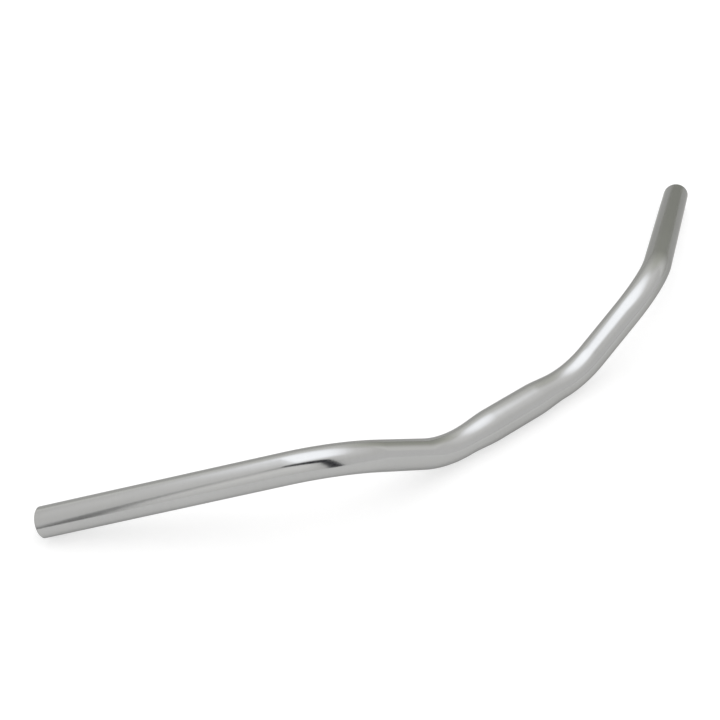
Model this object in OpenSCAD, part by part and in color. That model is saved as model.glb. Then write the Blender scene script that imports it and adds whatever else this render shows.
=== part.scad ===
// Bicycle handlebar: one drawn aluminium tube with a thick middle for the stem,
// narrowed on both sides of it, bent twice on each side and cut square at its ends.
// It lies as it rests on a table: on the middle and on the tips of both grips.
// +X runs along the middle, +Y is the side that the grips sweep to and +Z is up.
// The origin is the centre of the clamped middle. Sizes are in millimetres.

/* [Middle] */
// Diameter of the middle, which the stem clamps
clamp_d = 25.4; // [24.4:0.1:31.8]
// Length of the middle at that diameter
clamp_len = 40; // [30:1:60]
// Length of the taper on each side of the middle
taper_len = 27; // [10:1:50]

/* [Bends] */
// Radius of the bends beside the tapers, at the tube's axis
inner_bend_r = 76; // [50:1:120]
// Angle of the bends beside the tapers
inner_bend = 29; // [10:1:45]
// Straight length between the two bends of a side
shoulder_len = 42; // [10:1:90]
// Turn about the tube's axis from the side of the inner bend to that of the outer bend
side_turn = 228; // [190:1:250]
// Radius of the bends ahead of the grips, at the tube's axis
outer_bend_r = 76; // [50:1:120]
// Angle of the bends ahead of the grips
outer_bend = 50; // [25:1:80]

/* [Grips] */
// Diameter of the tube outside the tapers, where grips and levers fit
grip_d = 22.2; // [21:0.1:23.8]
// Straight length of each grip
grip_len = 175; // [110:1:220]

/* [Wall] */
// Wall of the tube in the middle
clamp_wall = 2; // [1.6:0.1:3]
// Wall of the tube outside the tapers
grip_wall = 2.2; // [1.6:0.1:3]
// Chamfer on the outer edge of both ends
outer_edge = 0.6; // [0.2:0.1:0.8]
// Chamfer on the inner edge of both ends
inner_edge = 0.4; // [0.2:0.1:0.6]

/* [Hidden] */

// All values from here on are in metres, and the finished tube is brought back to
// millimetres. The rounding of each turned frame then stays too small to part the
// round edges at which two runs of the tube meet.
metre = 1000;

clamp_r = clamp_d / 2 / metre;
grip_r = grip_d / 2 / metre;
clamp_bore_r = clamp_r - clamp_wall / metre;
grip_bore_r = grip_r - grip_wall / metre;
clamp_half = clamp_len / 2 / metre;
taper = taper_len / metre;
middle_half = clamp_half + taper;
inner_r = inner_bend_r / metre;
outer_r = outer_bend_r / metre;
shoulder = shoulder_len / metre;
grip = grip_len / metre;
outer_chamfer = outer_edge / metre;
inner_chamfer = inner_edge / metre;

// How far a bend runs on into the straight runs beside it, so that they are one solid
seam = 0.00000002;
// How far the bore's cutting shape runs past the ends of the tube
past = 2 / metre;
// Side of the blocks that cut a bend from its ring, wider than the largest ring
block = 4 * (max(inner_r, outer_r) + grip_r);
// Straight steps that draw the curve of each taper
taper_steps = 14;
facets = 96;

// A place on the tube's axis is [point, heading, side that the next bend turns to].
function ahead(place, len) = [place[0] + len * place[1], place[1], place[2]];
function bent(place, r, angle) = [
    place[0] + r * sin(angle) * place[1] + r * (1 - cos(angle)) * place[2],
    cos(angle) * place[1] + sin(angle) * place[2],
    cos(angle) * place[2] - sin(angle) * place[1]];
function rolled(place, angle) = [
    place[0], place[1], cos(angle) * place[2] + sin(angle) * cross(place[1], place[2])];

// The tip of the right grip, on a bar held with its inner bends straight up
centre = [[0, 0, 0], [1, 0, 0], [0, 0, 1]];
shoulder_end = ahead(bent(ahead(centre, middle_half), inner_r, inner_bend), shoulder);
tip = ahead(bent(rolled(shoulder_end, side_turn), outer_r, outer_bend), grip - outer_chamfer);
tip_reach = norm([tip[0].y, tip[0].z]);
tip_angle = atan2(tip[0].z, tip[0].y);

// Tilt about X that brings the lowest points of the tips level with the middle's.
// Each try uses the drop from a tip's axis to its lowest point at the last tilt.
function tip_drop(tilt) = grip_r * sqrt(1 - pow(tip[1].z * cos(tilt) - tip[1].y * sin(tilt), 2));
function levelled(tilt, tries) = tries == 0 ? tilt
    : levelled(tip_angle - asin((tip_drop(tilt) - clamp_r) / tip_reach), tries - 1);
rest_tilt = levelled(0, 6);

// Smooth step from 0 to 1, flat at both ends
function eased(t) = t * t * (3 - 2 * t);

// Outline of one taper, from the clamped middle outwards, as [radius, height] points
function taper_outline(middle_r, side_r) = [
    for (i = [0 : taper_steps])
        [middle_r + (side_r - middle_r) * eased(i / taper_steps), clamp_half + taper * i / taper_steps]];

// Lays what is drawn round Z along the tube's heading, +Y
module along_tube() rotate([-90, 0, 0]) children();

module middle_rod(middle_r, side_r) {
    upper = taper_outline(middle_r, side_r);
    lower = [for (i = [taper_steps : -1 : 0]) [upper[i].x, -upper[i].y]];
    along_tube() rotate_extrude($fn = facets)
        polygon(concat([[0, -middle_half]], lower, upper, [[0, middle_half]]));
}

// Places what follows a bend that starts at the origin, heading +Y and turning towards -X
module past_bend(r, angle) translate([-r, 0, 0]) rotate([0, 0, angle]) translate([r, 0, 0]) children();

module bend_rod(r, angle, rod_r) {
    intersection() {
        translate([-r, 0, 0]) rotate_extrude($fn = facets) translate([r, 0]) circle(r = rod_r);
        translate([0, -seam, 0]) translate([-block / 2, 0, -block / 2]) cube(block);
        past_bend(r, angle) translate([0, seam, 0]) translate([-block / 2, -block, -block / 2]) cube(block);
    }
}

// The grip's end widens by end_step, or narrows where it is below 0, and runs on by extra
module grip_rod(rod_r, end_step, extra) {
    end_r = rod_r + end_step + sign(end_step) * extra;
    along_tube() rotate_extrude($fn = facets)
        polygon([
            [0, 0], [rod_r, 0], [rod_r, grip - abs(end_step)],
            [end_r, grip + extra], [0, grip + extra]]);
}

// One side of the bar, from the end of its taper to its tip
module side_rod(rod_r, end_step, extra) {
    translate([0, middle_half, 0]) {
        bend_rod(inner_r, inner_bend, rod_r);
        past_bend(inner_r, inner_bend) {
            along_tube() cylinder(r = rod_r, h = shoulder, $fn = facets);
            translate([0, shoulder, 0]) rotate([0, side_turn, 0]) {
                bend_rod(outer_r, outer_bend, rod_r);
                past_bend(outer_r, outer_bend) grip_rod(rod_r, end_step, extra);
            }
        }
    }
}

// The bar as a solid rod, drawn along Y with its inner bends towards -X
module bar_rod(middle_r, side_r, end_step, extra = 0) {
    middle_rod(middle_r, side_r);
    side_rod(side_r, end_step, extra);
    mirror([0, 1, 0]) side_rod(side_r, end_step, extra);
}

module handlebar() {
    color("silver") scale(metre) rotate([90 - rest_tilt, 0, 0]) rotate([0, 0, -90]) difference() {
        bar_rod(clamp_r, grip_r, -outer_chamfer);
        bar_rod(clamp_bore_r, grip_bore_r, inner_chamfer, past);
    }
}

handlebar();
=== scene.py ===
"""Looks of a bicycle handlebar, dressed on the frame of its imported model.

The bar is one aluminium tube with a thick middle, two bends on each side and open,
chamfered ends. One side of it is drawn as two skins that run along the tube's axis and
meet in the face of the tip, and the other side is its mirror image. Everything is in
metres, in the frame of the CAD model.
"""

import logging
import math
from dataclasses import dataclass, field
from enum import Enum

import bmesh
import bpy
import numpy as np
from mathutils import Matrix, Vector


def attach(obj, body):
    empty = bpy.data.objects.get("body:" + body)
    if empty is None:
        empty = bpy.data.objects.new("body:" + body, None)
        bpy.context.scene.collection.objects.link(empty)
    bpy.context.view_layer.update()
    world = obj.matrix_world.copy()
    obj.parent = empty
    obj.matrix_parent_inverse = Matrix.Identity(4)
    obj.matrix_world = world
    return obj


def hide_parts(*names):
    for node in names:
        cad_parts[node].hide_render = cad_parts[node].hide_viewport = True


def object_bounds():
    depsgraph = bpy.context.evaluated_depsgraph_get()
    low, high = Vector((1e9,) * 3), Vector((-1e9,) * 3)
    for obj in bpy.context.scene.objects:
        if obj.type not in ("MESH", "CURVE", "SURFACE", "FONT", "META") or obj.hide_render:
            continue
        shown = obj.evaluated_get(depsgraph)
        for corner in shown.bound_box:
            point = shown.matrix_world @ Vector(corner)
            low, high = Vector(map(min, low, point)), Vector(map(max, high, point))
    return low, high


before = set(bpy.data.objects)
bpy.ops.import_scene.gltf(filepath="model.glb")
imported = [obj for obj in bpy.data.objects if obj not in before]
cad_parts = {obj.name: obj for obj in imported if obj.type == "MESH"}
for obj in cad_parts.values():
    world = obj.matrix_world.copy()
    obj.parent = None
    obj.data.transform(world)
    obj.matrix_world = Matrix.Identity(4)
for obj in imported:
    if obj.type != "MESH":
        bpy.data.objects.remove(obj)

logging.basicConfig(level=logging.INFO, format="%(message)s")
LOG = logging.getLogger("handlebar")

CAD_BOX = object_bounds()
NODE = "handlebar"
MM = 0.001
UNBENT = "unbent"
SAME_PLACE = 0.001 * MM

Colour = tuple[float, float, float]
Triple = tuple[float, float, float]
Pair = tuple[float, float]


class Surface(Enum):
    """The three kinds of surface of the tube, in the order of its material slots."""

    POLISHED = 0
    FACED = 1
    DRAWN = 2


@dataclass(frozen=True)
class TubeSizes:
    """The tube's sizes, the same as in the CAD source."""

    clamp_d: float = 25.4 * MM
    clamp_len: float = 40 * MM
    taper_len: float = 27 * MM
    inner_bend_r: float = 76 * MM
    inner_bend: float = math.radians(29)
    shoulder_len: float = 42 * MM
    side_turn: float = math.radians(228)
    outer_bend_r: float = 76 * MM
    outer_bend: float = math.radians(50)
    grip_d: float = 22.2 * MM
    grip_len: float = 175 * MM
    clamp_wall: float = 2 * MM
    grip_wall: float = 2.2 * MM
    outer_edge: float = 0.6 * MM
    inner_edge: float = 0.4 * MM

    @property
    def clamp_r(self) -> float:
        """Radius of the clamped middle."""
        return self.clamp_d / 2

    @property
    def grip_r(self) -> float:
        """Radius of the tube outside the tapers."""
        return self.grip_d / 2

    @property
    def clamp_half(self) -> float:
        """Distance from the centre to the start of a taper."""
        return self.clamp_len / 2


@dataclass(frozen=True)
class Place:
    """A place on the tube's axis, with the directions of the tube there."""

    point: Vector
    heading: Vector
    up: Vector

    def side(self, roll: float) -> Vector:
        """The direction across the tube that lies at an angle round it.

        Args:
            roll: The angle from up, about the heading.

        Returns:
            A unit vector at a right angle to the heading.
        """
        return self.up * math.cos(roll) + self.heading.cross(self.up) * math.sin(roll)

    def ahead(self, distance: float) -> "Place":
        """The place a distance straight ahead."""
        return Place(self.point + self.heading * distance, self.heading, self.up)

    def bent(self, radius: float, angle: float, roll: float) -> "Place":
        """The place that a bend leads to.

        Args:
            radius: The bend's radius at the tube's axis.
            angle: How far the bend turns.
            roll: The side that it turns to, as an angle from up.

        Returns:
            The place at the end of the bend.
        """
        side = self.side(roll)
        centre = self.point + side * radius
        turn = Matrix.Rotation(angle, 3, self.heading.cross(side))
        return Place(centre + turn @ (self.point - centre), turn @ self.heading, turn @ self.up)


@dataclass(frozen=True)
class Run:
    """A straight or bent stretch of the tube's axis."""

    start: Place
    length: float
    radius: float = 0.0
    roll: float = 0.0

    def at(self, distance: float) -> Place:
        """The place at a distance from the start of the run."""
        if self.radius == 0.0:
            return self.start.ahead(distance)
        return self.start.bent(self.radius, distance / self.radius, self.roll)

    @property
    def end(self) -> Place:
        """The place at the end of the run."""
        return self.at(self.length)


class Course:
    """The tube's axis on the +X side, from the centre to the tip."""

    TILT_TRIES = 6
    BATCH = 4000

    def __init__(self, sizes: TubeSizes) -> None:
        """Lays the axis out as it rests on a table.

        Args:
            sizes: The tube's sizes.
        """
        self.sizes = sizes
        self.tilt = self._rest_tilt()
        self.runs = self._lay(self.tilt)

    def _lay(self, tilt: float) -> list[Run]:
        """The runs of one side for a tilt of the bar about X.

        Args:
            tilt: The angle from the inner bends standing upright.

        Returns:
            The middle, inner bend, shoulder, outer bend and grip.
        """
        s = self.sizes
        up = Vector((0.0, math.sin(tilt), math.cos(tilt)))
        middle = Run(Place(Vector(), Vector((1, 0, 0)), up), s.clamp_half + s.taper_len)
        inner = Run(middle.end, s.inner_bend_r * s.inner_bend, s.inner_bend_r)
        shoulder = Run(inner.end, s.shoulder_len)
        outer = Run(shoulder.end, s.outer_bend_r * s.outer_bend, s.outer_bend_r, s.side_turn)
        return [middle, inner, shoulder, outer, Run(outer.end, s.grip_len)]

    def _rest_tilt(self) -> float:
        """The tilt that brings the tips' lowest points level with the middle's.

        Returns:
            The tilt in radians.
        """
        s = self.sizes
        tilt = 0.0
        upright = self._lay(0.0)[-1].at(s.grip_len - s.outer_edge)
        reach = math.hypot(upright.point.y, upright.point.z)
        angle = math.atan2(upright.point.z, upright.point.y)
        for _ in range(self.TILT_TRIES):
            heading = self._lay(tilt)[-1].start.heading
            drop = s.grip_r * math.sqrt(1 - heading.z ** 2)
            tilt = angle - math.asin((drop - s.clamp_r) / reach)
        return tilt

    def unbend(self, points: np.ndarray, step: float = 1 * MM) -> np.ndarray:
        """Where points of the bar lie when its tube is laid straight along Z.

        Args:
            points: Points of either side of the bar, one row each.
            step: Distance between the places that the points are measured from.

        Returns:
            Rows of the two places across the tube and the one along it.
        """
        side = np.where(points[:, 0] < 0, -1.0, 1.0)
        folded = points.copy()
        folded[:, 0] = np.abs(folded[:, 0])
        places, along, gone = [], [], 0.0
        for run in self.runs:
            count = max(2, round(run.length / step))
            for i in range(count + 1):
                places.append(run.at(run.length * i / count))
                along.append(gone + run.length * i / count)
            gone += run.length
        spots = np.array([p.point[:] for p in places])
        heads = np.array([p.heading[:] for p in places])
        ups = np.array([p.up[:] for p in places])
        overs = np.cross(heads, ups)
        result = np.empty_like(folded)
        for first in range(0, len(folded), self.BATCH):
            rows = slice(first, first + self.BATCH)
            near = ((folded[rows, None, :] - spots[None]) ** 2).sum(axis=2).argmin(axis=1)
            off = folded[rows] - spots[near]
            result[rows, 0] = (off * ups[near]).sum(axis=1)
            result[rows, 1] = (off * overs[near]).sum(axis=1)
            result[rows, 2] = np.array(along)[near] + (off * heads[near]).sum(axis=1)
        result[:, 2] *= side
        return result


def eased(t: float) -> float:
    """Smooth step from 0 to 1, flat at both ends."""
    return t * t * (3 - 2 * t)


def deselect_all() -> None:
    """Leaves nothing selected, neither the CAD nodes nor the last piece."""
    bpy.ops.object.select_all(action="DESELECT")


@dataclass
class TubeSkin:
    """One skin of the tube, drawn as a ring that is run along the axis in edit mode."""

    course: Course
    middle_r: float
    side_r: float
    tip_r: float
    facets: int = 96
    taper_steps: int = 30
    bend_step: float = math.radians(1)
    landing_slack: float = 0.01 * MM

    def draw(self) -> None:
        """Draws the skin from the centre to the tip, in the mesh that is being edited."""
        sizes = self.course.sizes
        bpy.ops.mesh.select_all(action="DESELECT")
        bpy.ops.mesh.primitive_circle_add(
            vertices=self.facets, radius=self.middle_r, fill_type="NOTHING",
            rotation=(0, math.pi / 2, 0))
        middle, inner, shoulder, outer, grip = self.course.runs
        self._push(middle, sizes.clamp_half)
        self._narrow(middle)
        self._turn(inner)
        self._push(shoulder, shoulder.length)
        self._turn(outer)
        chamfer = abs(self.tip_r - self.side_r)
        self._push(grip, grip.length - chamfer)
        self._push(grip, chamfer)
        self._resize(self.tip_r / self.side_r, grip.end.point)

    def face_off(self, rim_r: float) -> None:
        """Draws the flat ring of the tip, from the skin's last ring in to the bore's rim."""
        grip = self.course.runs[-1]
        self._push(grip, 0.0)
        self._resize(rim_r / self.tip_r, grip.end.point)

    def _push(self, run: Run, distance: float) -> None:
        """Extrudes the ring straight ahead, by a distance along the run."""
        bpy.ops.mesh.extrude_region_move(
            TRANSFORM_OT_translate={"value": run.start.heading * distance})

    def _resize(self, factor: float, centre: Vector) -> None:
        """Widens or narrows the ring about its centre."""
        bpy.ops.transform.resize(value=(factor,) * 3, center_override=centre)

    def _narrow(self, middle: Run) -> None:
        """Draws the taper as short steps on an eased curve.

        Args:
            middle: The run that holds the clamped middle and the taper.
        """
        sizes = self.course.sizes
        radius = self.middle_r
        for i in range(1, self.taper_steps + 1):
            share = i / self.taper_steps
            self._push(middle, sizes.taper_len / self.taper_steps)
            wanted = self.middle_r + (self.side_r - self.middle_r) * eased(share)
            reached = middle.at(sizes.clamp_half + sizes.taper_len * share)
            self._resize(wanted / radius, reached.point)
            radius = wanted

    def _turn(self, run: Run) -> None:
        """Spins the ring round a bend.

        Args:
            run: The bent run.

        Raises:
            RuntimeError: If the ring doesn't land at the end of the run.
        """
        side = run.start.side(run.roll)
        angle = run.length / run.radius
        bpy.ops.mesh.spin(
            steps=round(angle / self.bend_step), angle=-angle,
            center=run.start.point + side * run.radius, axis=run.start.heading.cross(side))
        ring = bmesh.from_edit_mesh(bpy.context.edit_object.data)
        found = [v.co for v in ring.verts if v.select]
        centre = sum(found, Vector()) / len(found)
        if (centre - run.end.point).length > self.landing_slack:
            raise RuntimeError(f"a bend ended at {centre[:]} and not at {run.end.point[:]}")


@dataclass
class HandlebarTube:
    """The whole tube: both skins, the faced tips, the mirrored side and its finishes."""

    course: Course
    edge_round: float = 0.12 * MM
    edge_segments: int = 3
    weld: float = 0.02 * MM
    crease: float = math.radians(20)
    smooth_below: float = math.radians(30)
    name: str = "handlebar_tube"
    piece: bpy.types.Object | None = field(default=None, init=False)

    def build(self) -> bpy.types.Object:
        """Builds the tube.

        Returns:
            The finished piece, with its place in its mesh.
        """
        mesh = bpy.data.meshes.new(self.name)
        self.piece = bpy.data.objects.new(self.name, mesh)
        bpy.context.scene.collection.objects.link(self.piece)
        deselect_all()
        self.piece.select_set(True)
        bpy.context.view_layer.objects.active = self.piece
        bpy.ops.object.mode_set(mode="EDIT")
        bpy.ops.mesh.select_mode(type="EDGE")
        self._draw_skins()
        self._weld_tip()
        self._round_edges()
        bpy.ops.object.mode_set(mode="OBJECT")
        self._mirror()
        self._smooth()
        self._mark_unbent()
        return self.piece

    def _draw_skins(self) -> None:
        """Draws the outer skin with the face of its tip, and the bore."""
        s = self.course.sizes
        bore_r = s.grip_r - s.grip_wall
        rim_r = bore_r + s.inner_edge
        outer = TubeSkin(self.course, s.clamp_r, s.grip_r, s.grip_r - s.outer_edge)
        outer.draw()
        outer.face_off(rim_r)
        TubeSkin(self.course, s.clamp_r - s.clamp_wall, bore_r, rim_r).draw()

    def _select_rings(self, distances: list[float]) -> None:
        """Selects the rings of edges at some distances before the tip.

        Args:
            distances: The distances along the grip, from its end.
        """
        tip = self.course.runs[-1].end
        shape = bmesh.from_edit_mesh(self.piece.data)
        for edge in shape.edges:
            gaps = [(tip.point - v.co).dot(tip.heading) for v in edge.verts]
            edge.select_set(any(all(abs(g - d) < self.weld for g in gaps) for d in distances))
        shape.select_flush_mode()
        bmesh.update_edit_mesh(self.piece.data)

    def _weld_tip(self) -> None:
        """Welds the face of the tip to the rim of the bore.

        Raises:
            RuntimeError: If a point of the rim stays loose.
        """
        bpy.ops.mesh.select_all(action="SELECT")
        bpy.ops.mesh.remove_doubles(threshold=self.weld)
        bpy.ops.mesh.normals_make_consistent(inside=False)
        shape = bmesh.from_edit_mesh(self.piece.data)
        edges = [edge for edge in shape.edges if edge.is_boundary]
        loose = [edge for edge in edges if edge.verts[0].co.x > self.weld]
        if loose:
            raise RuntimeError(f"{len(loose)} edges at the tip aren't welded")

    def _round_edges(self) -> None:
        """Takes the sharpness off both edges of each chamfer at the tip."""
        s = self.course.sizes
        self._select_rings([0.0, s.outer_edge, s.inner_edge])
        shape = bmesh.from_edit_mesh(self.piece.data)
        for edge in [edge for edge in shape.edges if edge.select]:
            if len(edge.link_faces) == 2 and edge.calc_face_angle() < self.crease:
                edge.select_set(False)
        bmesh.update_edit_mesh(self.piece.data)
        bpy.ops.mesh.bevel(
            offset_type="OFFSET", offset=self.edge_round, segments=self.edge_segments,
            profile=0.5, affect="EDGES")

    def _mirror(self) -> None:
        """Mirrors the side to -X and makes one closed shell of both."""
        mirror = self.piece.modifiers.new("other_side", "MIRROR")
        mirror.use_axis = (True, False, False)
        mirror.merge_threshold = SAME_PLACE
        bpy.ops.object.modifier_apply(modifier=mirror.name)
        bpy.ops.object.mode_set(mode="EDIT")
        bpy.ops.mesh.select_all(action="SELECT")
        bpy.ops.mesh.remove_doubles(threshold=SAME_PLACE)
        bpy.ops.mesh.normals_make_consistent(inside=False)
        bpy.ops.object.mode_set(mode="OBJECT")

    def _smooth(self) -> None:
        """Smooths the shading along the tube and keeps the faces of the tip flat."""
        bpy.ops.object.shade_smooth_by_angle(angle=self.smooth_below)
        weighted = self.piece.modifiers.new("flat_faces", "WEIGHTED_NORMAL")
        weighted.keep_sharp = True
        bpy.ops.object.modifier_apply(modifier=weighted.name)

    def _mark_unbent(self) -> None:
        """Stores where each point lies on the unbent tube, which the finishes follow."""
        mesh = self.piece.data
        places = np.empty(len(mesh.vertices) * 3)
        mesh.vertices.foreach_get("co", places)
        unbent = self.course.unbend(places.reshape(-1, 3))
        attribute = mesh.attributes.new(UNBENT, "FLOAT_VECTOR", "POINT")
        attribute.data.foreach_set("vector", unbent.astype(np.float32).ravel())

    def dress(self, finishes: dict[Surface, bpy.types.Material]) -> None:
        """Gives each face of the tube the finish of its surface.

        Args:
            finishes: One material for each kind of surface.
        """
        mesh = self.piece.data
        for surface in Surface:
            mesh.materials.append(finishes[surface])
        unbent = np.empty(len(mesh.vertices) * 3)
        mesh.attributes[UNBENT].data.foreach_get("vector", unbent)
        unbent = unbent.reshape(-1, 3)
        half = sum(run.length for run in self.course.runs)
        s = self.course.sizes
        for face in mesh.polygons:
            spots = unbent[list(face.vertices)]
            radius = float(np.hypot(spots[:, 0], spots[:, 1]).mean())
            along = float(np.abs(spots[:, 2]).mean())
            face.material_index = self._surface_at(half - along, radius, s).value

    @staticmethod
    def _surface_at(before_tip: float, radius: float, sizes: TubeSizes) -> Surface:
        """The kind of surface at a place of the tube.

        Args:
            before_tip: Distance along the tube to its tip.
            radius: Distance from the tube's axis.
            sizes: The tube's sizes.

        Returns:
            The surface that a face there belongs to.
        """
        facet_slack = 0.02 * MM
        bore_r = sizes.grip_r - sizes.grip_wall
        if radius > sizes.grip_r - sizes.outer_edge / 2:
            return Surface.POLISHED
        if before_tip < sizes.outer_edge and radius > bore_r + facet_slack:
            return Surface.FACED
        return Surface.DRAWN


class Value:
    """A shader socket that takes part in Python arithmetic."""

    def __init__(self, graph: "FinishGraph", socket: bpy.types.NodeSocket) -> None:
        """Wraps a socket of a graph."""
        self.graph = graph
        self.socket = socket

    def _math(self, operation: str, *terms: "Value | float") -> "Value":
        """Adds a Math node and returns its result."""
        return self.graph.node(
            "ShaderNodeMath", {"operation": operation}, dict(enumerate(terms)))["Value"]

    def __add__(self, other: "Value | float") -> "Value":
        """This value plus another."""
        return self._math("ADD", self, other)

    def __radd__(self, other: float) -> "Value":
        """A number plus this value."""
        return self._math("ADD", other, self)

    def __sub__(self, other: "Value | float") -> "Value":
        """This value less another."""
        return self._math("SUBTRACT", self, other)

    def __rsub__(self, other: float) -> "Value":
        """A number less this value."""
        return self._math("SUBTRACT", other, self)

    def __mul__(self, other: "Value | float") -> "Value":
        """This value times another."""
        return self._math("MULTIPLY", self, other)

    def __rmul__(self, other: float) -> "Value":
        """A number times this value."""
        return self._math("MULTIPLY", other, self)


class FinishGraph:
    """The node tree of one finish, or of the room's white surroundings."""

    def __init__(self, owner: bpy.types.Material | bpy.types.World) -> None:
        """Starts an empty tree in a material or a world."""
        owner.use_nodes = True
        self.owner = owner
        self.tree = owner.node_tree
        self.tree.nodes.clear()

    @classmethod
    def of_material(cls, name: str) -> "FinishGraph":
        """An empty tree in a new material."""
        return cls(bpy.data.materials.new(name))

    def node(
        self,
        kind: str,
        settings: dict[str, object] | None = None,
        sockets: dict[str | int, object] | None = None,
    ) -> dict[str, Value]:
        """Adds a node, sets it up and links it.

        Args:
            kind: The node's type.
            settings: Its settings, which are set first.
            sockets: The values or links of its inputs, by name or number.

        Returns:
            The node's outputs by name.
        """
        made = self.tree.nodes.new(kind)
        for key, setting in (settings or {}).items():
            setattr(made, key, setting)
        for key, given in (sockets or {}).items():
            if isinstance(given, Value):
                self.tree.links.new(given.socket, made.inputs[key])
            else:
                made.inputs[key].default_value = given
        return {out.name: Value(self, out) for out in made.outputs if out.enabled}

    def unbent(self) -> Value:
        """The place on the unbent tube."""
        settings = {"attribute_type": "GEOMETRY", "attribute_name": UNBENT}
        return self.node("ShaderNodeAttribute", settings)["Vector"]

    def stretched(self, place: Value, scale: Triple) -> Value:
        """A place scaled on its own axes."""
        return self.node(
            "ShaderNodeVectorMath", {"operation": "MULTIPLY"}, {0: place, 1: scale})["Vector"]

    def length(self, place: Value) -> Value:
        """The distance of a place from the origin."""
        return self.node("ShaderNodeVectorMath", {"operation": "LENGTH"}, {0: place})["Value"]

    def noise(self, place: Value, detail: float = 2.0, roughness: float = 0.5) -> Value:
        """Noise of 0 to 1 at a place that is already scaled."""
        return self.node(
            "ShaderNodeTexNoise", {"noise_dimensions": "3D"},
            {"Vector": place, "Scale": 1.0, "Detail": detail, "Roughness": roughness})["Fac"]

    def eased(self, given: Value, span: Pair) -> Value:
        """0 below a span of values, 1 above it, and a smooth step in between."""
        return self.node(
            "ShaderNodeMapRange", {"interpolation_type": "SMOOTHSTEP"},
            {"Value": given, "From Min": span[0], "From Max": span[1]})["Result"]

    @staticmethod
    def mixed(share: float, first: Value, second: Value) -> Value:
        """Two values added up, the first by a share and the second by the rest of it."""
        return first * share + second * (1 - share)

    @staticmethod
    def around(level: float, span: float, share: Value) -> Value:
        """A value round a level, which a share of 0 to 1 moves over a span."""
        return level + span * (share - 0.5)

    def blend(self, share: Value, low: "Value | Colour", high: "Value | Colour") -> Value:
        """A colour between two, by a share of 0 to 1."""
        ends = [end if isinstance(end, Value) else (*end, 1) for end in (low, high)]
        sockets = {0: share, 6: ends[0], 7: ends[1]}
        return self.node("ShaderNodeMix", {"data_type": "RGBA"}, sockets)["Result"]

    def bump(self, height: Value, depth: float) -> Value:
        """A surface normal from a height of 0 to 1.

        Args:
            height: The height at each place.
            depth: How deep the whole height is, in metres.

        Returns:
            The bumped normal.
        """
        sockets = {"Strength": 1.0, "Distance": depth, "Height": height}
        return self.node("ShaderNodeBump", None, sockets)["Normal"]

    def metal(
        self, colour: Value, roughness: Value, normal: Value, edge_tint: Colour,
    ) -> bpy.types.Material:
        """Ends the tree in a metal.

        Args:
            colour: The base colour.
            roughness: The roughness.
            normal: The bumped normal.
            edge_tint: How much of the reflection is left just before grazing angles.

        Returns:
            The finished material.
        """
        shader = self.node(
            "ShaderNodeBsdfPrincipled", None,
            {"Base Color": colour, "Metallic": 1.0, "Roughness": roughness, "Normal": normal,
             "Specular Tint": (*edge_tint, 1)})["BSDF"]
        return self.finished(shader)

    def finished(self, shader: Value) -> bpy.types.Material:
        """Ends the tree in a shader and gives its material."""
        self.node("ShaderNodeOutputMaterial", None, {"Surface": shader})
        return self.owner


@dataclass(frozen=True)
class PolishedAluminium:
    """Buffed aluminium: nearly a mirror, with fine marks of the wheel round the tube.

    A scale gives how often a pattern repeats in a metre, across the tube and along it.
    """

    name: str = "polished_aluminium"
    low: Colour = (0.368, 0.368, 0.363)
    high: Colour = (0.447, 0.447, 0.442)
    edge_tint: Colour = (0.55, 0.55, 0.55)
    roughness: float = 0.155
    roughness_span: float = 0.08
    mark_depth: float = 0.0065 * MM
    cloud_scale: Triple = (45, 45, 16)
    mark_scale: Triple = (38, 38, 900)
    fine_scale: Triple = (160, 160, 3600)
    detail: float = 3.0
    mark_roughness: float = 0.6
    clouds_in_colour: float = 0.7
    marks_in_gloss: float = 0.6
    marks_in_relief: float = 0.6

    def make(self) -> bpy.types.Material:
        """Makes the material."""
        graph = FinishGraph.of_material(self.name)
        place = graph.unbent()
        clouds = graph.noise(graph.stretched(place, self.cloud_scale), self.detail)
        marks = graph.noise(
            graph.stretched(place, self.mark_scale), self.detail, self.mark_roughness)
        fine = graph.noise(graph.stretched(place, self.fine_scale))
        shade = graph.mixed(self.clouds_in_colour, clouds, marks)
        dullness = graph.mixed(self.marks_in_gloss, marks, clouds)
        relief = graph.mixed(self.marks_in_relief, marks, fine)
        return graph.metal(
            graph.blend(shade, self.low, self.high),
            graph.around(self.roughness, self.roughness_span, dullness),
            graph.bump(relief, self.mark_depth), self.edge_tint)


@dataclass(frozen=True)
class FacedAluminium:
    """The turned face and chamfers of a tip, with fine rings round the bore."""

    name: str = "faced_aluminium"
    low: Colour = (0.36, 0.36, 0.36)
    high: Colour = (0.46, 0.46, 0.46)
    edge_tint: Colour = (0.8, 0.8, 0.8)
    roughness: float = 0.27
    roughness_span: float = 0.12
    mark_depth: float = 0.006 * MM
    rings_per_metre: float = 9000
    cloud_scale: Triple = (300, 300, 300)
    rings_in_colour: float = 0.6

    def make(self) -> bpy.types.Material:
        """Makes the material."""
        graph = FinishGraph.of_material(self.name)
        place = graph.unbent()
        radius = graph.length(graph.stretched(place, (1, 1, 0)))
        outwards = {"X": radius * self.rings_per_metre, "Y": 0.0, "Z": 0.0}
        rings = graph.noise(graph.node("ShaderNodeCombineXYZ", None, outwards)["Vector"])
        clouds = graph.noise(graph.stretched(place, self.cloud_scale))
        shade = graph.mixed(self.rings_in_colour, rings, clouds)
        return graph.metal(
            graph.blend(shade, self.low, self.high),
            graph.around(self.roughness, self.roughness_span, clouds),
            graph.bump(rings, self.mark_depth), self.edge_tint)


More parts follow.
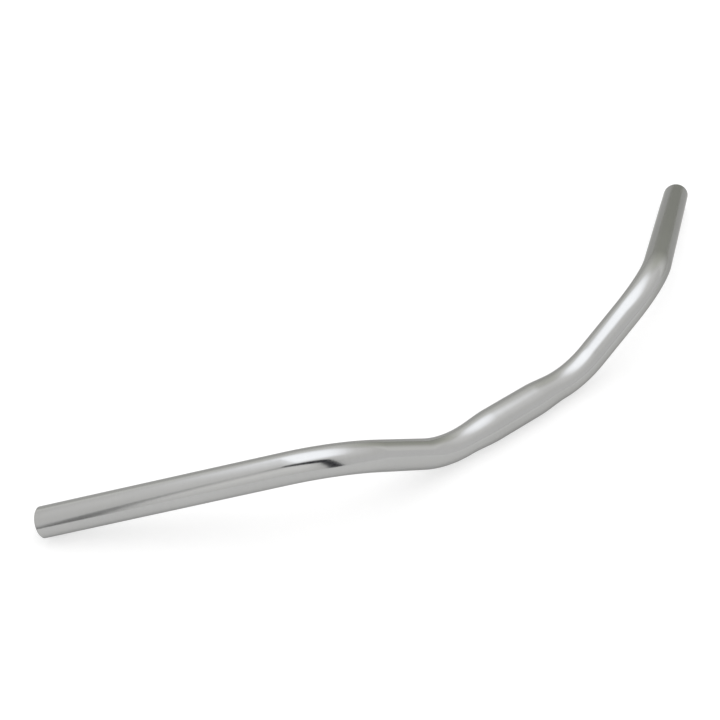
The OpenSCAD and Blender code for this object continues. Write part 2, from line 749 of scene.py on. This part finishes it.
@dataclass(frozen=True)
class DrawnAluminium:
    """The bore as the tube was drawn: dull, with long lines from the die."""

    name: str = "drawn_aluminium"
    low: Colour = (0.50, 0.50, 0.49)
    high: Colour = (0.68, 0.68, 0.67)
    edge_tint: Colour = (0.8, 0.8, 0.8)
    roughness: float = 0.42
    roughness_span: float = 0.16
    line_depth: float = 0.02 * MM
    line_scale: Triple = (1400, 1400, 14)
    detail: float = 3.0
    line_roughness: float = 0.6
    cloud_scale: Triple = (220, 220, 60)
    lines_in_colour: float = 0.5

    def make(self) -> bpy.types.Material:
        """Makes the material."""
        graph = FinishGraph.of_material(self.name)
        place = graph.unbent()
        lines = graph.noise(
            graph.stretched(place, self.line_scale), self.detail, self.line_roughness)
        clouds = graph.noise(graph.stretched(place, self.cloud_scale))
        shade = graph.mixed(self.lines_in_colour, lines, clouds)
        return graph.metal(
            graph.blend(shade, self.low, self.high),
            graph.around(self.roughness, self.roughness_span, clouds),
            graph.bump(lines, self.line_depth), self.edge_tint)


@dataclass(frozen=True)
class Slope:
    """A share that climbs from 0 to 1 along a direction.

    It climbs while the place's dot product with the direction goes through the span.
    """

    direction: Triple
    span: Pair

    def share(self, graph: FinishGraph, place: Value) -> Value:
        """The share at a place."""
        sockets = {0: place, 1: self.direction}
        along = graph.node("ShaderNodeVectorMath", {"operation": "DOT_PRODUCT"}, sockets)
        return graph.eased(along["Value"], self.span)


@dataclass(frozen=True)
class Pool:
    """A share that is 1 round a core and falls to 0 at its reach.

    The level is how much of the way to the reach stays at 1.
    """

    core: Triple
    reach: Triple
    level: float = 0.0

    def share(self, graph: FinishGraph, place: Value) -> Value:
        """The share at a place."""
        sockets = {0: place, 1: self.core}
        off = graph.node("ShaderNodeVectorMath", {"operation": "SUBTRACT"}, sockets)["Vector"]
        distance = graph.length(graph.stretched(off, tuple(1 / reach for reach in self.reach)))
        return 1 - graph.eased(distance, (self.level, 1.0))


@dataclass(frozen=True)
class Tone:
    """The tone of a card: even, or with an inner tone where all its shares are 1."""

    outer: "Colour | Tone"
    inner: Colour | None = None
    shares: tuple[Slope | Pool, ...] = ()

    def colour(self, graph: FinishGraph, place: Value) -> "Value | Colour":
        """The tone at a place.

        Args:
            graph: The tree that the tone is made in.
            place: The place on the card.

        Returns:
            A colour, or a value that holds one where the tone varies.
        """
        nested = isinstance(self.outer, Tone)
        outer = self.outer.colour(graph, place) if nested else self.outer
        if not self.shares:
            return outer
        share = self.shares[0].share(graph, place)
        for other in self.shares[1:]:
            share = share * other.share(graph, place)
        return graph.blend(share, outer, self.inner)


@dataclass(frozen=True)
class Card:
    """A card of the studio that the metal mirrors, and that the camera doesn't see.

    It stands upright unless it is flat, faces the bar, and may lean to a side. A sheet of
    painted shade doesn't glow: it dims what is mirrored through it.
    """

    name: str
    centre: Triple
    size: Pair
    tone: Tone
    facing: float = 0.0
    lean: float = 0.0
    top_share: float = 1.0
    flat: bool = False
    # A sheet of painted shade: it dims what the metal mirrors through it instead of glowing.
    painted_shade: bool = False

    def build(self) -> bpy.types.Object:
        """Makes the card.

        Returns:
            The card, marked as part of the stage.
        """
        deselect_all()
        bpy.ops.mesh.primitive_plane_add(size=1)
        card = bpy.context.active_object
        card.name = self.name
        bpy.ops.object.mode_set(mode="EDIT")
        bpy.ops.transform.resize(value=(*self.size, 1), center_override=(0, 0, 0))
        self._narrow_top(card)
        bpy.ops.object.mode_set(mode="OBJECT")
        upright = Matrix.Rotation(0.0 if self.flat else math.pi / 2, 4, "X")
        leaning = Matrix.Rotation(self.lean, 4, "Y")
        turned = Matrix.Rotation(self.facing, 4, "Z")
        card.matrix_world = Matrix.Translation(self.centre) @ turned @ leaning @ upright
        bpy.ops.object.transform_apply(location=True, rotation=True, scale=True)
        self._light(card)
        card.visible_camera = False
        card.visible_diffuse = False
        card.visible_shadow = False
        return card

    def _narrow_top(self, card: bpy.types.Object) -> None:
        """Makes the card's top edge a share of its width."""
        bpy.ops.mesh.select_mode(type="VERT")
        shape = bmesh.from_edit_mesh(card.data)
        for vert in shape.verts:
            vert.select_set(vert.co.y > 0)
        bmesh.update_edit_mesh(card.data)
        bpy.ops.transform.resize(value=(self.top_share, 1, 1), center_override=(0, 0, 0))

    def _light(self, card: bpy.types.Object) -> None:
        """Gives the card its tones."""
        graph = FinishGraph.of_material(self.name)
        tone = self.tone.colour(graph, graph.node("ShaderNodeTexCoord")["Object"])
        colour = tone if isinstance(tone, Value) else (*tone, 1)
        # A sheet of painted shade is a transparent filter that darkens what is mirrored behind
        # it; other cards glow.
        kind = "ShaderNodeBsdfTransparent" if self.painted_shade else "ShaderNodeEmission"
        (shader,) = graph.node(kind, None, {"Color": colour}).values()
        card.data.materials.append(graph.finished(shader))


@dataclass(frozen=True)
class SoftLamp:
    """A soft box above the bar, as an area lamp that faces down."""

    name: str
    centre: Triple
    size: Pair
    level: float = 1.0

    def build(self) -> bpy.types.Object:
        """Makes the lamp, at a level where 1 looks white."""
        data = bpy.data.lights.new(self.name, "AREA")
        data.shape = "RECTANGLE"
        data.size, data.size_y = self.size
        data.energy = self.level * math.pi * self.size[0] * self.size[1]
        lamp = bpy.data.objects.new(self.name, data)
        lamp.location = self.centre
        lamp.visible_glossy = False
        bpy.context.scene.collection.objects.link(lamp)
        return lamp


@dataclass(frozen=True)
class Studio:
    """The white room round the bar: its floor, lamp, cards, world and camera."""

    floor_z: float
    floor_size: float = 14.0
    floor_colour: Colour = (0.58, 0.58, 0.58)
    floor_glow: float = 0.56
    diffuse_level: float = 0.75
    camera_place: Triple = (-0.38691, -0.36737, 0.53155)
    camera_right: Triple = (0.80633381, -0.59046184, -0.03435995)
    camera_up: Triple = (0.41701112, 0.52635071, 0.74098358)
    camera_lens: float = 49.9147
    camera_sensor: float = 36
    camera_clip: Pair = (0.01, 100)
    flag_distance: float = 0.62
    flag_colour: Colour = (0.035, 0.035, 0.045)

    def build(self) -> None:
        """Builds the whole studio."""
        self._floor()
        self._world()
        self._camera()
        soft_box = SoftLamp("soft_box", centre=(0.30, 0.50, 2.0), size=(1.6, 2.4))
        cards = [self._ceiling(), *self._flags(), self._strip(), self._curtain(), self._wall()]
        # The last two cards are sheets of painted shade over what the metal mirrors of the room
        # and floor.
        for thing in [soft_box, *cards, self._tall_painted_shade(), self._low_painted_shade()]:
            thing.build()
            LOG.info("studio: %s", thing.name)

    @staticmethod
    def _ceiling() -> Card:
        """The ceiling: a bright field above the bar that fades into a plain tone."""
        rightwards = (1, -0.3, 0)
        # Where the bright field fades out: to the right, to the front, and to the back
        edges = (
            Slope((-1, 0.48, 0), (-1.55, -0.14)),
            Slope((0.30, 1, 0), (-1.05, -0.22)),
            Slope((-1, -1, 0), (-3.8, -0.95)))
        overhead = Pool(core=(0.5, 0.3, 2.0), reach=(3.3, 3.3, 3.3))
        # Above 1 is brighter than white paper, as a lit ceiling is in the metal
        plain = Tone((1.0, 1.0, 0.99), (1.30, 1.30, 1.30), (overhead,))
        bright = Tone(plain, (1.52, 1.54, 1.57), (Slope(rightwards, (-1.5, -0.95)), *edges))
        brightest = Tone(bright, (2.20, 2.24, 2.33), (Slope(rightwards, (-0.94, -0.80)), *edges))
        return Card(
            "bright_ceiling", centre=(0.4, 0.4, 2.0), size=(8.0, 8.0), tone=brightest, flat=True)

    def _flags(self) -> list[Card]:
        """Two dark flags behind the camera, which leave the dark mark on the left bend.

        Returns:
            An upright flag that widens to its top, and one that reaches across beside it.
        """
        facing = math.atan2(-self.camera_place[0], self.camera_place[1]) + math.pi
        beside = Vector((math.cos(facing), math.sin(facing), 0))
        towards = Vector((math.sin(facing), -math.cos(facing), 0))
        foot = towards * self.flag_distance
        dark = Tone(self.flag_colour)
        upright = Card(
            "tall_flag", centre=foot + beside * 0.30 + Vector((0, 0, 0.60)), size=(0.17, 1.2),
            tone=dark, facing=facing, top_share=1.9)
        across = Card(
            "cross_flag", centre=foot + beside * -0.11 + Vector((0, 0, 0.86)), size=(0.60, 0.64),
            tone=dark, facing=facing, lean=math.radians(-100), top_share=0.45)
        return [upright, across]

    @staticmethod
    def _strip() -> Card:
        """A slim grey strip that leaves the long dark line on the left grip."""
        tone = Tone((0.25, 0.25, 0.25), (0.70, 0.70, 0.70), (Slope((0, 0, 1), (0.1, 0.9)),))
        return Card(
            "leaning_strip", centre=(-1.0, -0.205, 0.45), size=(0.14, 1.0), tone=tone,
            facing=-math.pi / 2, lean=math.radians(-10), top_share=0.35)

    @staticmethod
    def _curtain() -> Card:
        """A pale curtain behind the camera, brighter to its top and to the left grip's side."""
        higher = Slope((0, 0, 1), (-0.3, 1.3))
        leftwards = Slope((-0.707, 0.707, 0), (-0.9, -0.1))
        return Card(
            "pale_curtain", centre=(-1.27, -1.27, 1.0), size=(1.7, 2.0),
            tone=Tone((1.0, 1.0, 0.99), (1.28, 1.28, 1.27), (higher, leftwards)),
            facing=math.radians(-45))

    @staticmethod
    def _wall() -> Card:
        """The wall beyond the bar, brighter towards its top."""
        tone = Tone((0.80, 0.805, 0.775), (1.21, 1.215, 1.19), (Slope((0, 0, 1), (-0.05, 1.7)),))
        return Card(
            "far_wall", centre=(1.25, 1.40, 0.80), size=(9.0, 1.62), tone=tone,
            facing=math.radians(-42))

    @staticmethod
    def _tall_painted_shade() -> Card:
        """An upright sheet of painted shade that dims and warms what the right grip mirrors."""
        middle = Pool(core=(0.90, 0.46, 0.2), reach=(0.62, 0.62, 1.5), level=0.15)
        return Card(
            "tall_painted_shade", centre=(0.90, 0.46, 0.74), size=(1.8, 1.5),
            tone=Tone((1.0, 1.0, 1.0), (0.74, 0.748, 0.700), (middle,)),
            facing=math.radians(-60), painted_shade=True)

    def _low_painted_shade(self) -> Card:
        """A sheet of painted shade that dims what is mirrored of the floor beyond the bar, most
        round the right grip.
        """
        lift = 1 * MM
        backwards = Slope((0.6, 0.8, 0), (-0.25, 0.25))
        right_grip = Pool(core=(1.0, 0.45, 0.0), reach=(0.70, 0.70, 0.70), level=0.2)
        back = Tone((1.0, 1.0, 1.0), (0.83, 0.832, 0.81), (backwards,))
        return Card(
            "low_painted_shade", centre=(0.4, 0.4, self.floor_z + lift), size=(8.0, 8.0),
            tone=Tone(back, (0.71, 0.717, 0.675), (right_grip,)), flat=True, painted_shade=True)

    def _floor(self) -> None:
        """Lays the pale floor that the bar rests on."""
        deselect_all()
        bpy.ops.mesh.primitive_plane_add(size=self.floor_size, location=(0, 0, self.floor_z))
        bpy.ops.object.transform_apply(location=True)
        floor = bpy.context.active_object
        floor.name = "pale_floor"
        graph = FinishGraph.of_material("pale_floor")
        colour = {"Color": (*self.floor_colour, 1)}
        matt = graph.node("ShaderNodeBsdfDiffuse", None, colour)["BSDF"]
        strength = {"Strength": self._seen(graph) * self.floor_glow}
        glow = graph.node("ShaderNodeEmission", None, strength)["Emission"]
        both = graph.node("ShaderNodeAddShader", None, {0: matt, 1: glow})["Shader"]
        floor.data.materials.append(graph.finished(both))

    @staticmethod
    def _seen(graph: FinishGraph) -> Value:
        """1 for what the camera sees straight, in gloss or through glass, and else 0."""
        path = graph.node("ShaderNodeLightPath")
        return path["Is Camera Ray"] + path["Is Glossy Ray"] + path["Is Transmission Ray"]

    def _world(self) -> None:
        """Makes the white surroundings."""
        world = bpy.data.worlds.new("white_room")
        bpy.context.scene.world = world
        graph = FinishGraph(world)
        strength = self.diffuse_level + (1 - self.diffuse_level) * self._seen(graph)
        sockets = {"Color": (1, 1, 1, 1), "Strength": strength}
        sky = graph.node("ShaderNodeBackground", None, sockets)["Background"]
        graph.node("ShaderNodeOutputWorld", None, {"Surface": sky})

    def _camera(self) -> None:
        """Places the camera at the photograph's angle."""
        data = bpy.data.cameras.new("camera")
        data.sensor_fit = "HORIZONTAL"
        data.sensor_width = self.camera_sensor
        data.lens = self.camera_lens
        data.clip_start, data.clip_end = self.camera_clip
        camera = bpy.data.objects.new("camera", data)
        right, up = Vector(self.camera_right), Vector(self.camera_up)
        turn = Matrix((right, up, right.cross(up))).transposed().to_4x4()
        camera.matrix_world = Matrix.Translation(self.camera_place) @ turn
        bpy.context.scene.collection.objects.link(camera)
        bpy.context.scene.camera = camera


def main() -> None:
    """Builds the bar and its studio, in order."""
    course = Course(TubeSizes())
    tube = HandlebarTube(course)
    piece = tube.build()
    finishes = {
        Surface.POLISHED: PolishedAluminium().make(),
        Surface.FACED: FacedAluminium().make(),
        Surface.DRAWN: DrawnAluminium().make(),
    }
    tube.dress(finishes)
    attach(piece, "root")
    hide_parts(NODE)
    LOG.info("piece: %s, %d faces", piece.name, len(piece.data.polygons))
    Studio(floor_z=CAD_BOX[0].z).build()
    bpy.context.scene.view_settings.view_transform = "Standard"


if __name__ == "__main__":
    main()
